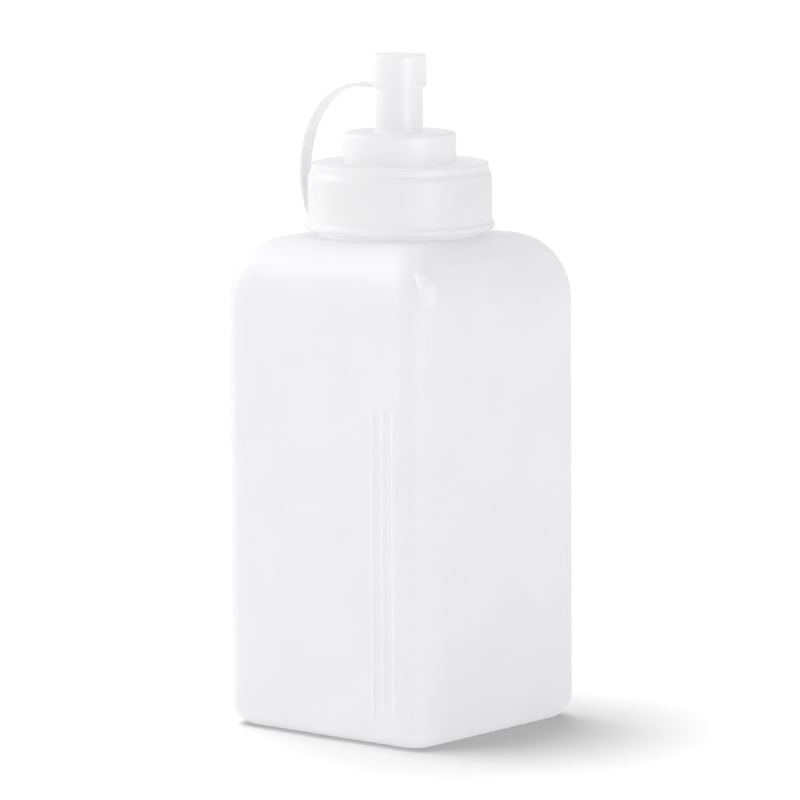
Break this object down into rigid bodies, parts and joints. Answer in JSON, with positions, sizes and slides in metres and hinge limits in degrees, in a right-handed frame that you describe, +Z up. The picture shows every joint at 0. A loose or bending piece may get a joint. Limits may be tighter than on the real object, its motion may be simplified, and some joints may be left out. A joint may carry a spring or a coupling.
{
  "type": "squeeze sauce bottle",
  "caption": "Square squeeze bottle for sauce: rounded shoulders, screw cap with a stepped spout, and a small tip cap on a strap that swings off the spout.",
  "frame": {"origin": "middle of the standing face, on the axis of the neck", "axes": "+Z up along the neck; the ribbed face looks along -Y; the lug is on the +X side of the corner between -Y and +X"},
  "size_m": [0.0604, 0.061, 0.1556],
  "materials": {
    "bottle_plastic": "natural low-density polyethylene, milky and slightly see-through, soft satin",
    "spout_plastic": "natural polyethylene, milky, soft satin",
    "cap_plastic": "natural polyethylene, milky, soft satin",
    "strap_plastic": "natural polyethylene, thin and milky"
  },
  "bodies": {
    "bottle": {"bottle": "bottle_plastic"},
    "spout": {"spout": "spout_plastic"},
    "screw_cap": {"screw_cap": "cap_plastic"},
    "strap_1": {"strap_link_1": "strap_plastic"},
    "strap_2": {"strap_link_2": "strap_plastic"},
    "strap_3": {"strap_link_3": "strap_plastic"},
    "tip_cap": {"tip_cap": "cap_plastic"}
  },
  "joints": [
    {"name": "closure_lift", "type": "slide", "parent": "bottle", "child": "spout", "axis": [0, 0, 1], "range_m": [0, 0.00631]},
    {"name": "cap_turn", "type": "hinge", "parent": "spout", "child": "screw_cap", "pos_m": [0, 0, 0.123], "axis": [0, 0, 1], "range_deg": [0, 540]},
    {"name": "strap_bend_1", "type": "hinge", "parent": "screw_cap", "child": "strap_1", "pos_m": [-0.02264, -0.00523, 0.11871], "axis": [0.225, -0.9744, 0], "range_deg": [0, 10]},
    {"name": "strap_bend_2", "type": "hinge", "parent": "strap_1", "child": "strap_2", "pos_m": [-0.02379, -0.00549, 0.13083], "axis": [0.225, -0.9744, 0], "range_deg": [0, 24]},
    {"name": "strap_bend_3", "type": "hinge", "parent": "strap_2", "child": "strap_3", "pos_m": [-0.01974, -0.00456, 0.14232], "axis": [0.225, -0.9744, 0], "range_deg": [0, 44]},
    {"name": "tip_cap_swing", "type": "hinge", "parent": "strap_3", "child": "tip_cap", "pos_m": [-0.00979, -0.00226, 0.1483], "axis": [0.225, -0.9744, 0], "range_deg": [0, 72]}
  ],
  "couplings": [
    {"joint": "closure_lift", "follows": "cap_turn", "m_per_rad": 0.00066845},
    {"joint": "strap_bend_1", "follows": "tip_cap_swing", "ratio": 0.13889},
    {"joint": "strap_bend_2", "follows": "tip_cap_swing", "ratio": 0.33333},
    {"joint": "strap_bend_3", "follows": "tip_cap_swing", "ratio": 0.61111}
  ]
}
